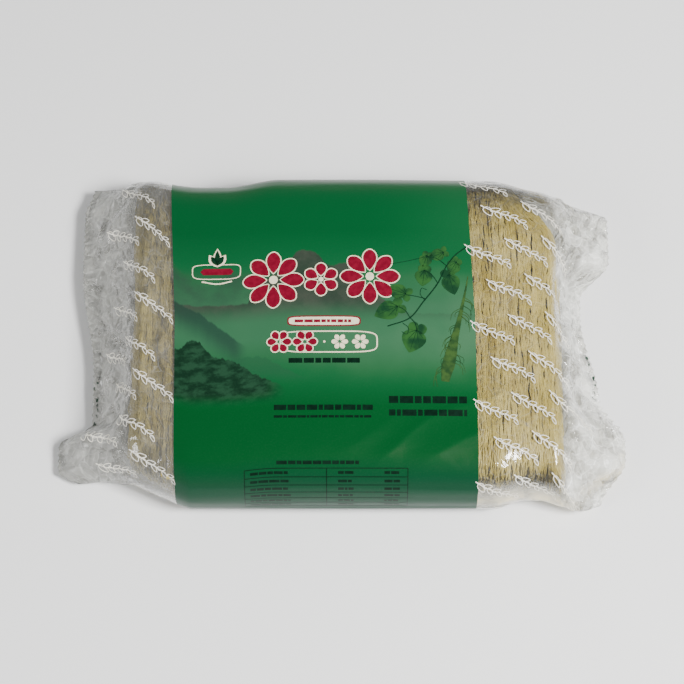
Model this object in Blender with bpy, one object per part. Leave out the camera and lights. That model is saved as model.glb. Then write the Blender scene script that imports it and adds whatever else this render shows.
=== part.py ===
"""A sealed clear film pack of dried rice vermicelli with a broad printed band, lying on its back.

One closed solid: the film runs as a tube round the block of noodles and is pinched shut at both ends,
where its loose corners stand out as crumpled lobes. Metres, +Z up, +X along the pack, front towards -Y.
The origin is the middle of the outline on the surface that the pack lies on.
"""

import bmesh
import bpy
import numpy as np

# Driving sizes of the block of noodles and of the film round it
BLOCK_LEFT, BLOCK_RIGHT = -0.111, 0.116  # where the block's two ends press on the film
SEAL_LEFT, SEAL_RIGHT = -0.134, 0.130  # the two end seals, before their corners stand out
FRONT, BACK = -0.0940, 0.0930  # the film's widest reach over the block
HEIGHT = 0.046  # the crown of the block
CROWN = 0.0030  # how much lower the top is at the block's ends than at its middle
BAND_LEFT, BAND_RIGHT = -0.0900, 0.0695  # the printed band's two edges

# Section of the pack
WIDEST_BODY, WIDEST_END = 0.0155, 0.0100  # height of the widest line, over the block and at a seal
TOP_FULLNESS, END_FULLNESS = 8.0, 3.2  # how square the top's shoulders are, over the block and at a seal
UNDER_FULLNESS = 11.0
UNDER_SHAVE = 0.0012  # the weight presses the underside flat up to this height
SEAL_THICKNESS = 0.0016
END_EASE = 0.006  # how far inside the block's end the film starts to fall away
LOBE_PUFF = 0.0045  # how far each skin of a loose corner stands off the other

# Lobes of loose film: centre line, half width and flank, along Y
LEFT_LOBE = (-0.0635, 0.0070, 0.0120)
RIGHT_BACK_LOBE = (0.0600, 0.0120, 0.0220)
RIGHT_FRONT_LOBE = (-0.0600, 0.0050, 0.0240)

# Mesh
STATIONS_END, STATIONS_BODY, STATIONS_SHOULDER = 16, 14, 5
POINTS_OVER, POINTS_UNDER = 46, 28


def ease(low, high, x):
    """From 0 at low to 1 at high, level at both."""
    t = np.clip((x - low) / (high - low), 0.0, 1.0)
    return t * t * (3.0 - 2.0 * t)


def hump(x, centre, half_width, flank):
    """1 around centre, falling to 0 over a flank on each side."""
    rising = ease(centre - half_width - flank, centre - half_width, x)
    return rising - ease(centre + half_width, centre + half_width + flank, x)


def ridge(phase):
    """A sharp-crested wave between -1 and 1, as film creases."""
    return 1.0 - 2.0 * np.abs(np.sin(np.pi * phase))


def front_edge(x):
    """Y of the outline's front side: cut back at the left corner, with a dent before the right one."""
    cut = 0.0165 * (1.0 - ease(-0.122, -0.080, x))
    dent = 0.0045 * hump(x, 0.100, 0.004, 0.016)
    turn = 0.0090 * ease(0.118, 0.140, x)
    return FRONT + cut + dent + turn


def back_edge(x):
    """Y of the outline's back side: slack beside the band, and sloping away at the right corner."""
    slack = 0.0045 * hump(x, -0.070, 0.006, 0.030)
    slope = 0.0060 * ease(0.080, 0.108, x) + 0.0150 * ease(0.105, 0.138, x)
    return BACK - slack - slope


def left_reach(y):
    """How far the left end stands out past its seal: a back half with a round corner, and a lobe in front."""
    back_half = 0.0085 * ease(-0.020, 0.045, y) * (1.0 - 0.5 * ease(0.078, 0.093, y))
    return -back_half - 0.0175 * hump(y, *LEFT_LOBE)


def right_reach(y):
    """The right end: a lobe at the back, a waist, then a broad lobe that ends in the front corner."""
    back_lobe = 0.0165 * hump(y, *RIGHT_BACK_LOBE)
    front_half = 0.0080 * (1.0 - ease(-0.030, 0.015, y))
    front_lobe = 0.0135 * hump(y, *RIGHT_FRONT_LOBE)
    return back_lobe + front_half + front_lobe


def closing(x):
    """0 over the block, 1 at a seal."""
    left = 1.0 - ease(SEAL_LEFT, BLOCK_LEFT + END_EASE, x)
    right = ease(BLOCK_RIGHT - END_EASE, SEAL_RIGHT, x)
    return left + right


def crown_height(x):
    """The top's height over the block."""
    return HEIGHT - CROWN * (2.0 * x / (BLOCK_RIGHT - BLOCK_LEFT)) ** 2


def widest_height(x, across, closed):
    """Height of the widest line, which droops at the front corners and stays up at the right back lobe."""
    level = WIDEST_BODY + (WIDEST_END - WIDEST_BODY) * closed
    droop = 0.0050 * closed * ease(0.25, 1.0, -across)
    lift = 0.0045 * closed * ease(0.2, 0.9, across) * ease(0.0, 0.1, x)
    return level - droop + lift


def crumple(x, y, closed):
    """Creases that run out from the block's edge and die at the seal and over the block."""
    fan = 0.0016 * ridge(58.0 * y + 9.0 * x) + 0.0011 * ridge(33.0 * y - 24.0 * x + 0.3)
    return fan * 4.0 * closed * (1.0 - closed)


def puff(x, y, closed):
    """How far a skin of a loose corner is blown out, just inside the end."""
    lobes = (RIGHT_BACK_LOBE, RIGHT_FRONT_LOBE) if x > 0.0 else (LEFT_LOBE,)
    spread = sum(hump(y, *lobe) for lobe in lobes)
    folds = 1.0 + 0.35 * ridge(70.0 * y + 30.0 * x)
    return LOBE_PUFF * spread * folds * ease(0.35, 0.85, closed) * (1.0 - ease(0.90, 1.0, closed))


def section(x, sign, count):
    """Points of the top (sign 1) or underside (sign -1) from front to back, evenly spaced along it."""
    across = np.sin(np.linspace(-0.5, 0.5, 601) * np.pi)
    closed = closing(x)
    front, back = front_edge(x), back_edge(x)
    y = 0.5 * (front + back) + 0.5 * (back - front) * across
    widest = widest_height(x, across, closed)
    if sign > 0:
        fullness = TOP_FULLNESS + (END_FULLNESS - TOP_FULLNESS) * closed
        swell = np.sqrt(1.0 - np.abs(across) ** fullness)
        over_block = widest + (crown_height(x) - widest) * swell
    else:
        swell = np.sqrt(1.0 - np.abs(across) ** UNDER_FULLNESS)
        over_block = np.maximum(widest * (1.0 - swell) - UNDER_SHAVE * swell, 0.0)
    at_seal = widest + sign * 0.5 * SEAL_THICKNESS * swell
    z = over_block + (at_seal - over_block) * closed
    if sign > 0:
        z = z + (crumple(x, y, closed) + puff(x, y, closed)) * swell
    walked = np.concatenate([[0.0], np.cumsum(np.hypot(np.diff(y), np.diff(z)))])
    stops = np.linspace(0.0, walked[-1], count)
    y, z = np.interp(stops, walked, y), np.interp(stops, walked, z)
    reach = np.where(x < 0.0, left_reach(y), right_reach(y))
    return np.column_stack([x + reach * closed, y, z])


def stations():
    """Places along the pack, closer together where the film falls to its seals, and on the band's edges."""
    left = np.linspace(SEAL_LEFT, BLOCK_LEFT + END_EASE, STATIONS_END)
    right = np.linspace(BLOCK_RIGHT - END_EASE, SEAL_RIGHT, STATIONS_END)
    band = np.linspace(BAND_LEFT, BAND_RIGHT, STATIONS_BODY)
    left_shoulder = 0.5 * (left[-1] + BAND_LEFT)
    right_shoulder = np.linspace(BAND_RIGHT, right[0], STATIONS_SHOULDER + 1)[1:-1]
    return np.concatenate([left, [left_shoulder], band, right_shoulder, right])


def hoop(x):
    """One closed loop of points round the pack: over the top from front to back, and back underneath."""
    over = section(x, 1, POINTS_OVER)
    under = section(x, -1, POINTS_UNDER)
    return np.concatenate([over, under[-2:0:-1]])


def build_pack():
    """The film's tube, lofted through its hoops, with a flat strip closing each seal."""
    bm = bmesh.new()
    places = stations()
    hoops = [[bm.verts.new(point) for point in hoop(x)] for x in places]
    around = len(hoops[0])
    banded = []
    for i, (one, two) in enumerate(zip(hoops, hoops[1:])):
        middle = 0.5 * (places[i] + places[i + 1])
        for k in range(around):
            n = (k + 1) % around
            face = bm.faces.new((one[k], one[n], two[n], two[k]))
            if BAND_LEFT < middle < BAND_RIGHT:
                banded.append(face)
    for face in banded:
        face.material_index = 1
    for loop in (hoops[0], hoops[-1]):
        edges = [bm.edges.get((loop[k], loop[(k + 1) % around])) for k in range(around)]
        bmesh.ops.triangle_fill(bm, use_beauty=True, use_dissolve=False, edges=edges)
    bmesh.ops.recalc_face_normals(bm, faces=bm.faces)
    mesh = bpy.data.meshes.new("sealed_pack")
    bm.to_mesh(mesh)
    bm.free()
    mesh.shade_smooth()
    pack = bpy.data.objects.new("sealed_pack", mesh)
    bpy.context.scene.collection.objects.link(pack)
    return pack


def finish_material(name, colour, roughness):
    """A Principled material of one colour."""
    material = bpy.data.materials.new(name)
    material.use_nodes = True
    shader = material.node_tree.nodes["Principled BSDF"]
    shader.inputs["Base Color"].default_value = (*colour, 1.0)
    shader.inputs["Roughness"].default_value = roughness
    shader.inputs["Metallic"].default_value = 0.0
    return material


def main():
    for thing in list(bpy.data.objects):
        bpy.data.objects.remove(thing)
    pack = build_pack()
    pack.data.materials.append(finish_material("clear film over noodles", (0.52, 0.45, 0.26), 0.25))
    pack.data.materials.append(finish_material("green printed film", (0.005, 0.12, 0.035), 0.22))


main()
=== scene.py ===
"""A sealed clear film pack of dried rice vermicelli, with a green printed band, on a pale floor.

The film is one tube round the block of noodles, pinched shut at both ends. It is laid out here as an
add-on with one operator for each group of pieces. Metres, +Z up, +X along the pack, front towards -Y.
"""

import math

import bpy
import numpy as np
from bpy.props import FloatProperty, FloatVectorProperty, IntProperty, PointerProperty
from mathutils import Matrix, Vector


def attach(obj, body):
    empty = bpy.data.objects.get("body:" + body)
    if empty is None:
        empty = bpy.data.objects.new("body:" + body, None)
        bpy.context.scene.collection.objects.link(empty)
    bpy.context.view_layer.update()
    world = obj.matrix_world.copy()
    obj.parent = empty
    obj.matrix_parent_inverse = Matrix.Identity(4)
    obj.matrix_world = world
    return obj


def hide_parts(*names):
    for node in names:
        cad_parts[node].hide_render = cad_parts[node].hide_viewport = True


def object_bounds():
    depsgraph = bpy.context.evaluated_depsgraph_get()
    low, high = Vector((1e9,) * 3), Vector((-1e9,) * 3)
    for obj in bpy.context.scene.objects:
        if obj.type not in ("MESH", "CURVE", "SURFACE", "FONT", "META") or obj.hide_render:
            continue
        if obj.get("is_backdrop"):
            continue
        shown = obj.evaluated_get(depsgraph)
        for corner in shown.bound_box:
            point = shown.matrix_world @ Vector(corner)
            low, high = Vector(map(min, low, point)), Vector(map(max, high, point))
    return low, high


bl_info = {
    "name": "Rice Vermicelli Pack",
    "version": (1, 0, 0),
    "blender": (4, 5, 0),
    "location": "View3D > Sidebar > Noodle Pack",
    "description": "Builds a sealed film pack of dried rice vermicelli round its solid",
    "category": "Add Mesh",
}

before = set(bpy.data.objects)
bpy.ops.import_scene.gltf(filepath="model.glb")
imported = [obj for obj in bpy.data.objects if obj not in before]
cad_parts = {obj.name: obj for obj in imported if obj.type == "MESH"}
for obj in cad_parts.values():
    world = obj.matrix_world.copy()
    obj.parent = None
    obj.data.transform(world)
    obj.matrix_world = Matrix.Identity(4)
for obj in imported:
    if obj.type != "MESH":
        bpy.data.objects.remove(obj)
CAD_LOW, CAD_HIGH = (Vector(corner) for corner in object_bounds())
PACK = "sealed_pack"
MM = 0.001

# The pack's form, as in its solid
BLOCK_LEFT, BLOCK_RIGHT = -0.111, 0.116
SEAL_LEFT, SEAL_RIGHT = -0.134, 0.130
FRONT, BACK = -0.0940, 0.0930
HEIGHT = CAD_HIGH.z - CAD_LOW.z
CROWN = 0.0030
BAND_LEFT, BAND_RIGHT = -0.0900, 0.0695
WIDEST_BODY, WIDEST_END = 0.0155, 0.0100
TOP_FULLNESS, END_FULLNESS, UNDER_FULLNESS = 8.0, 3.2, 11.0
UNDER_SHAVE = 0.0012
END_EASE = 0.006
LOBE_PUFF = 0.0045
LEFT_LOBE = (-0.0635, 0.0070, 0.0120)
RIGHT_BACK_LOBE = (0.0600, 0.0120, 0.0220)
RIGHT_FRONT_LOBE = (-0.0600, 0.0050, 0.0240)

# Where the film's outer edge laps over itself, low on the front side, in millimetres of film
LAP_START, LAP_SLOPE = -113.5, 0.14

# Film mesh
STEPS_LEFT, STEPS_BAND, STEPS_RIGHT = 80, 100, 110
STEPS_OVER = 220
SKIN_GAP = 0.0003  # between the two skins at a seal


# ---------------------------------------------------------------- plain maths


def ease(low, high, x):
    """From 0 at low to 1 at high, level at both."""
    t = np.clip((x - low) / (high - low), 0.0, 1.0)
    return t * t * (3.0 - 2.0 * t)


def hump(x, centre, half_width, flank):
    """1 around centre, falling to 0 over a flank on each side."""
    rising = ease(centre - half_width - flank, centre - half_width, x)
    return rising - ease(centre + half_width, centre + half_width + flank, x)


def ridge(phase):
    """A sharp-crested wave between -1 and 1, as film creases."""
    return 1.0 - 2.0 * np.abs(np.sin(np.pi * phase))


def heading(degrees):
    """The cosine and sine of an angle in degrees."""
    return math.cos(math.radians(degrees)), math.sin(math.radians(degrees))


class Heights:
    """Random heights on a lattice, read smoothly as soft waves or flatly as folded facets."""

    def __init__(self, seed):
        self.table = np.random.default_rng(seed).uniform(-1.0, 1.0, (64, 64))

    def at(self, i, j):
        return self.table[i.astype(int) % 64, j.astype(int) % 64]

    def waves(self, x, y):
        """Smooth noise with one bump to each unit."""
        i, j = np.floor(x), np.floor(y)
        s, t = ease(0.0, 1.0, x - i), ease(0.0, 1.0, y - j)
        low = self.at(i, j) * (1.0 - s) + self.at(i + 1, j) * s
        high = self.at(i, j + 1) * (1.0 - s) + self.at(i + 1, j + 1) * s
        return low * (1.0 - t) + high * t

    def facets(self, x, y):
        """Flat triangles that meet in creases, bent off their lattice so that no row shows."""
        x, y = x + 0.45 * self.waves(x * 0.7 + 9.0, y * 0.7), y + 0.45 * self.waves(x * 0.7, y * 0.7 + 5.0)
        a, b = x - y / math.sqrt(3.0), 2.0 * y / math.sqrt(3.0)
        i, j = np.floor(a), np.floor(b)
        s, t = a - i, b - j
        lower = self.at(i, j) * (1.0 - s - t) + self.at(i + 1, j) * s + self.at(i, j + 1) * t
        upper = self.at(i + 1, j + 1) * (s + t - 1.0)
        upper = upper + self.at(i + 1, j) * (1.0 - t) + self.at(i, j + 1) * (1.0 - s)
        return np.where(s + t < 1.0, lower, upper)


# ---------------------------------------------------------------- the film's skin


def front_edge(x):
    """Y of the outline's front side: cut back at the left corner, with a dent before the right one."""
    cut = 0.0165 * (1.0 - ease(-0.122, -0.080, x))
    dent = 0.0045 * hump(x, 0.100, 0.004, 0.016)
    turn = 0.0090 * ease(0.118, 0.140, x)
    return FRONT + cut + dent + turn


def back_edge(x):
    """Y of the outline's back side: slack beside the band, and sloping away at the right corner."""
    slack = 0.0045 * hump(x, -0.070, 0.006, 0.030)
    slope = 0.0060 * ease(0.080, 0.108, x) + 0.0150 * ease(0.105, 0.138, x)
    return BACK - slack - slope


def left_reach(y):
    """How far the left end stands out past its seal: a back half with a round corner, and a lobe in front."""
    back_half = 0.0085 * ease(-0.020, 0.045, y) * (1.0 - 0.5 * ease(0.078, 0.093, y))
    return -back_half - 0.0175 * hump(y, *LEFT_LOBE)


def right_reach(y):
    """The right end: a lobe at the back, a waist, then a broad lobe that ends in the front corner."""
    back_lobe = 0.0165 * hump(y, *RIGHT_BACK_LOBE)
    front_half = 0.0080 * (1.0 - ease(-0.030, 0.015, y))
    front_lobe = 0.0135 * hump(y, *RIGHT_FRONT_LOBE)
    return back_lobe + front_half + front_lobe


def teeth(x, y):
    """The zigzag cut along a seal, deepest near the right end's front corner."""
    depth = 0.0004 + 0.0010 * hump(y, -0.039, 0.008, 0.003) * (1.0 if x > 0.0 else 0.0)
    return depth * ridge(y / 0.0036)


def band_skew(x, y):
    """How far the film runs askew near the band's two edges."""
    sides = (-0.090, 0.0, 0.090)
    left = np.interp(y, sides, (0.0030, 0.0015, -0.0034)) * hump(x, BAND_LEFT, 0.002, 0.015)
    right = np.interp(y, sides, (0.0012, 0.0010, -0.0024)) * hump(x, BAND_RIGHT, 0.002, 0.015)
    return left + right


def closing(x):
    """0 over the block, 1 at a seal."""
    left = 1.0 - ease(SEAL_LEFT, BLOCK_LEFT + END_EASE, x)
    right = ease(BLOCK_RIGHT - END_EASE, SEAL_RIGHT, x)
    return left + right


def crown_height(x):
    """The top's height over the block."""
    return HEIGHT - CROWN * (2.0 * x / (BLOCK_RIGHT - BLOCK_LEFT)) ** 2


def widest_height(x, across, closed):
    """Height of the widest line, which droops at the front corners and stays up at the right back lobe."""
    level = WIDEST_BODY + (WIDEST_END - WIDEST_BODY) * closed
    droop = 0.0050 * closed * ease(0.25, 1.0, -across)
    lift = 0.0045 * closed * ease(0.2, 0.9, across) * ease(0.0, 0.1, x)
    return level - droop + lift


def puff(x, y, closed):
    """How far a skin of a loose corner is blown out, just inside the end."""
    lobes = (RIGHT_BACK_LOBE, RIGHT_FRONT_LOBE) if x > 0.0 else (LEFT_LOBE,)
    spread = sum(hump(y, *lobe) for lobe in lobes)
    return LOBE_PUFF * spread * ease(0.35, 0.85, closed) * (1.0 - ease(0.90, 1.0, closed))


def section(x, sign, count):
    """Points of the top (sign 1) or underside (sign -1) from front to back, evenly spaced, and its length."""
    across = np.sin(np.linspace(-0.5, 0.5, 801) * np.pi)
    closed = closing(x)
    front, back = front_edge(x), back_edge(x)
    y = 0.5 * (front + back) + 0.5 * (back - front) * across
    widest = widest_height(x, across, closed)
    if sign > 0:
        fullness = TOP_FULLNESS + (END_FULLNESS - TOP_FULLNESS) * closed
        swell = np.sqrt(1.0 - np.abs(across) ** fullness)
        over_block = widest + (crown_height(x) - widest) * swell
    else:
        swell = np.sqrt(1.0 - np.abs(across) ** UNDER_FULLNESS)
        over_block = np.maximum(widest * (1.0 - swell) - UNDER_SHAVE * swell, 0.0)
    at_seal = widest + sign * 0.5 * SKIN_GAP * swell
    z = over_block + (at_seal - over_block) * closed
    if sign > 0:
        z = z + puff(x, y, closed) * swell
    walked = np.concatenate([[0.0], np.cumsum(np.hypot(np.diff(y), np.diff(z)))])
    stops = np.linspace(0.0, walked[-1], count)
    y, z = np.interp(stops, walked, y), np.interp(stops, walked, z)
    reach = np.where(x < 0.0, left_reach(y), right_reach(y)) + np.sign(x) * teeth(x, y) * closed**12
    return np.column_stack([x + reach * closed + band_skew(x, y), y, z]), walked[-1]


def grid_normals(points):
    """Unit normals of a grid of points that runs along the pack, then round it."""
    along = np.gradient(points, axis=0)
    around = np.gradient(points, axis=1)
    normal = np.cross(along, around)
    return normal / np.maximum(np.linalg.norm(normal, axis=2, keepdims=True), 1e-12)


class Skin:
    """The film's top and underside as grids over the same stations, with film coordinates in metres.

    The first film coordinate runs along the pack, and the second round it from the top's middle line.
    """

    def __init__(self):
        left = np.linspace(SEAL_LEFT, BAND_LEFT, STEPS_LEFT + 1)
        band = np.linspace(BAND_LEFT, BAND_RIGHT, STEPS_BAND + 1)
        right = np.linspace(BAND_RIGHT, SEAL_RIGHT, STEPS_RIGHT + 1)
        self.stations = np.concatenate([left, band[1:], right[1:]])
        self.closed = closing(self.stations)
        self.over, self.over_length = self.side(1)
        self.under, self.under_length = self.side(-1)
        middle = self.over[:, STEPS_OVER // 2]
        run = np.concatenate([[0.0], np.cumsum(np.linalg.norm(np.diff(middle, axis=0), axis=1))])
        self.along = run - np.interp(0.0, self.stations, run)
        share = np.linspace(-0.5, 0.5, STEPS_OVER + 1)
        self.over_around = self.over_length[:, None] * share[None, :]
        run_under = self.under_length[:, None] * (share + 0.5)[None, :]
        self.under_around = -self.over_length[:, None] / 2 - run_under
        self.crumple(self.over, self.over_around, 11, 1.0)
        self.crumple(self.under, self.under_around, 47, -1.0)
        self.over_normals = grid_normals(self.over)
        self.under_normals = -grid_normals(self.under)

    def side(self, sign):
        made = [section(x, sign, STEPS_OVER + 1) for x in self.stations]
        return np.stack([points for points, _ in made]), np.array([length for _, length in made])

    def crumple(self, points, around, seed, sign):
        """Folds, facets and wrinkles, pushed along the skin's normals, and none where it rests flat."""
        normals = grid_normals(points) * sign
        u = np.broadcast_to(self.along[:, None], around.shape)
        closed = np.broadcast_to(self.closed[:, None], around.shape)
        y, z = points[:, :, 1], points[:, :, 2]
        big, small, fine, soft = (Heights(seed + k) for k in range(4))
        loose = ease(0.01, 0.30, closed) * (1.0 - ease(0.93, 1.0, closed))
        folds = 2.6 * MM * big.facets(u / 0.020, around / 0.026)
        folds += 1.5 * MM * small.facets(u / 0.0085, around / 0.011)
        folds += 0.50 * MM * fine.facets(u / 0.0038, around / 0.0048)
        fan = 1.1 * MM * ridge(around * 46.0 + u * 10.0 + 0.8 * soft.waves(u * 40.0, around * 30.0))
        moved = (folds + fan * 4.0 * closed * (1.0 - closed)) * loose
        # The block behind holds the film out
        moved = np.maximum(moved, -0.9 * MM - 4.0 * MM * ease(0.25, 0.60, closed))
        side_wall = ease(0.071, 0.085, np.abs(y)) * (1.0 - ease(0.0, 0.25, closed))
        long_waves = soft.waves(u * 9.0, around * 90.0) + 0.5 * big.waves(u * 17.0, around * 210.0)
        moved = moved + 0.45 * MM * side_wall * long_waves * ease(0.002, 0.008, z)
        if sign > 0:
            lap = LAP_START * MM - LAP_SLOPE * (u + 0.086) - around
            calm = 1.0 - ease(0.0, 0.25, closed)
            moved = moved - 0.7 * MM * ease(0.0, 0.0012, lap) * calm * (1.0 - ease(-0.030, -0.005, u))
            moved = moved + calm * (1.0 - side_wall) * self.band_waves(u, around, soft, small)
        edge = np.sin(np.linspace(0.0, np.pi, around.shape[1]))[None, :] ** 0.25
        rest = ease(0.0, 0.0015, z) if sign < 0 else 1.0
        points += normals * (moved * edge * rest)[:, :, None]
        points[:, :, 2] = np.maximum(points[:, :, 2], 0.0)

    def band_waves(self, u, around, soft, small):
        """Slack over the block, diagonal wrinkles at the band's front right, and crinkles beside the band."""
        slack = 0.16 * MM * soft.waves(u * 28.0, around * 22.0)
        slack = slack + 0.05 * MM * small.waves(u * 90.0, around * 60.0)
        lean = around - 0.42 * u
        reach = ease(-0.02, 0.03, u) * (1.0 - ease(0.075, 0.100, u))
        wrinkles = ridge(lean * 62.0 + 0.5 * soft.waves(u * 20.0, around * 20.0))
        near_front = hump(lean, -0.088, 0.010, 0.020)
        clear = ease(BAND_RIGHT, BAND_RIGHT + 0.02, u) + 1.0 - ease(BAND_LEFT - 0.012, BAND_LEFT, u)
        crinkle = 0.30 * MM * small.facets(u / 0.0105, around / 0.021)
        return slack + 0.28 * MM * wrinkles * reach * near_front + crinkle * clear

    def across_row(self, rows, v, top, under):
        """Reads a top grid and an underside grid at v, on whole rows. V may run on right round the pack."""
        over_length, under_length = self.over_length[rows], self.under_length[rows]
        v = np.where(v > over_length / 2.0, v - over_length - under_length, v)
        on_top = v > -over_length / 2.0
        share = np.where(on_top, v / over_length + 0.5, (-over_length / 2.0 - v) / under_length)
        j = np.clip(share, 0.0, 1.0) * STEPS_OVER * 0.999999
        k = np.floor(j).astype(int)
        t = (j - k)[:, None]
        over_values = top[rows, k] * (1.0 - t) + top[rows, k + 1] * t
        under_values = under[rows, k] * (1.0 - t) + under[rows, k + 1] * t
        return np.where(on_top[:, None], over_values, under_values)

    def place(self, u, v, lift):
        """Points a lift above the film's outer face, at film coordinates u and v."""
        i = np.interp(u, self.along, np.arange(len(self.along)))
        low = np.clip(np.floor(i).astype(int), 0, len(self.along) - 2)
        s = (i - low)[:, None]
        point, normal = (
            self.across_row(low, v, top, under) * (1.0 - s) + self.across_row(low + 1, v, top, under) * s
            for top, under in ((self.over, self.under), (self.over_normals, self.under_normals))
        )
        normal = normal / np.maximum(np.linalg.norm(normal, axis=1, keepdims=True), 1e-9)
        return point + normal * lift


# ---------------------------------------------------------------- shader maths


def arithmetic(operation, swapped=False):
    """An operator method of Field."""

    def apply(self, other):
        pair = (other, self) if swapped else (self, other)
        return self.graph.maths(operation, *pair)

    return apply


class Field:
    """A number that changes over a surface: a socket with the usual operators."""

    def __init__(self, graph, socket):
        self.graph = graph
        self.socket = socket

    __add__, __radd__ = arithmetic("ADD"), arithmetic("ADD", swapped=True)
    __sub__, __rsub__ = arithmetic("SUBTRACT"), arithmetic("SUBTRACT", swapped=True)
    __mul__, __rmul__ = arithmetic("MULTIPLY"), arithmetic("MULTIPLY", swapped=True)
    __truediv__ = arithmetic("DIVIDE")
    least, most = arithmetic("MINIMUM"), arithmetic("MAXIMUM")

    def clipped(self):
        return self.least(1.0).most(0.0)

    def rise(self, low, high):
        """0 below low, 1 above high, smooth between."""
        node = self.graph.node(
            "ShaderNodeMapRange",
            {"interpolation_type": "SMOOTHSTEP"},
            {"Value": self, "From Min": low, "From Max": high},
        )
        return Field(self.graph, node.outputs["Result"])


class Graph:
    """A material's nodes. node() adds any node from its type, its settings and its sockets' values."""

    def __init__(self, name):
        self.material = bpy.data.materials.new(name)
        self.material.use_nodes = True
        self.tree = self.material.node_tree
        self.tree.nodes.clear()
        self.output = self.node("ShaderNodeOutputMaterial")

    def node(self, kind, settings=None, sockets=None):
        node = self.tree.nodes.new(kind)
        for key, value in (settings or {}).items():
            if key == "stops":
                self.fill_ramp(node.color_ramp, value)
            else:
                setattr(node, key, value)
        for key, value in (sockets or {}).items():
            self.feed(node.inputs[key], value)
        return node

    @staticmethod
    def fill_ramp(ramp, stops):
        while len(ramp.elements) < len(stops):
            ramp.elements.new(1.0)
        for element, (place, colour) in zip(ramp.elements, stops):
            element.position = place
            element.color = (*colour, 1.0)

    def feed(self, socket, value):
        if isinstance(value, Field):
            value = value.socket
        if isinstance(value, bpy.types.NodeSocket):
            self.tree.links.new(value, socket)
        elif isinstance(value, tuple) and socket.type == "RGBA":
            socket.default_value = (*value, 1.0)
        else:
            socket.default_value = value

    def maths(self, operation, *values):
        node = self.node("ShaderNodeMath", {"operation": operation})
        for socket, value in zip(node.inputs, values):
            self.feed(socket, value)
        return Field(self, node.outputs[0])

    def mix(self, factor, one, two):
        """A colour between one and two."""
        node = self.node("ShaderNodeMix", {"data_type": "RGBA"})
        for index, value in ((0, factor), (6, one), (7, two)):
            self.feed(node.inputs[index], value)
        return node.outputs[2]

    def ramp(self, field, stops):
        node = self.node("ShaderNodeValToRGB", {"stops": stops}, {"Fac": field})
        return node.outputs["Color"]

    def film_place(self):
        """The two film coordinates, in millimetres."""
        source = self.node("ShaderNodeUVMap", {"uv_map": "film"})
        parts = self.node("ShaderNodeSeparateXYZ", None, {"Vector": source.outputs["UV"]})
        return [Field(self, parts.outputs[k]) * 1000.0 for k in (0, 1)]

    def vector(self, x, y, z=0.0):
        return self.node("ShaderNodeCombineXYZ", None, {"X": x, "Y": y, "Z": z}).outputs["Vector"]

    def object_place(self):
        return self.node("ShaderNodeTexCoord").outputs["Object"]

    def attribute(self, name):
        return Field(self, self.node("ShaderNodeAttribute", {"attribute_name": name}).outputs["Fac"])

    def noise(self, place, scale, detail=2.0, roughness=0.5):
        node = self.node(
            "ShaderNodeTexNoise",
            {"noise_dimensions": "3D"},
            {"Vector": place, "Scale": scale, "Detail": detail, "Roughness": roughness},
        )
        return Field(self, node.outputs["Fac"])

    def cells(self, place, scale, feature="F1"):
        node = self.node("ShaderNodeTexVoronoi", {"feature": feature}, {"Vector": place, "Scale": scale})
        return Field(self, node.outputs["Distance"])

    def cell_tone(self, place, scale):
        """A random number for each cell of the same cells."""
        cell = self.node("ShaderNodeTexVoronoi", None, {"Vector": place, "Scale": scale}).outputs["Color"]
        return Field(self, self.node("ShaderNodeSeparateColor", None, {"Color": cell}).outputs[0])

    def bump(self, height, distance, strength=1.0):
        sockets = {"Height": height, "Distance": distance, "Strength": strength}
        return self.node("ShaderNodeBump", None, sockets).outputs["Normal"]

    def stretched(self, place, share):
        """A place drawn out across the pack, as strands run."""
        sockets = {"Vector": place, "Scale": (1.0, share, 1.0)}
        return self.node("ShaderNodeMapping", None, sockets).outputs["Vector"]

    def blend(self, factor, one, two):
        """A shader between the shaders of nodes one and two."""
        return self.node("ShaderNodeMixShader", None, {0: factor, 1: one.outputs[0], 2: two.outputs[0]})

    def finish(self, shader):
        self.feed(self.output.inputs["Surface"], shader)
        return self.material

    def finish_solid(self, sockets):
        """Ends in one ordinary shader with these sockets' values."""
        return self.finish(self.node("ShaderNodeBsdfPrincipled", None, sockets).outputs["BSDF"])


# ---------------------------------------------------------------- materials


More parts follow.
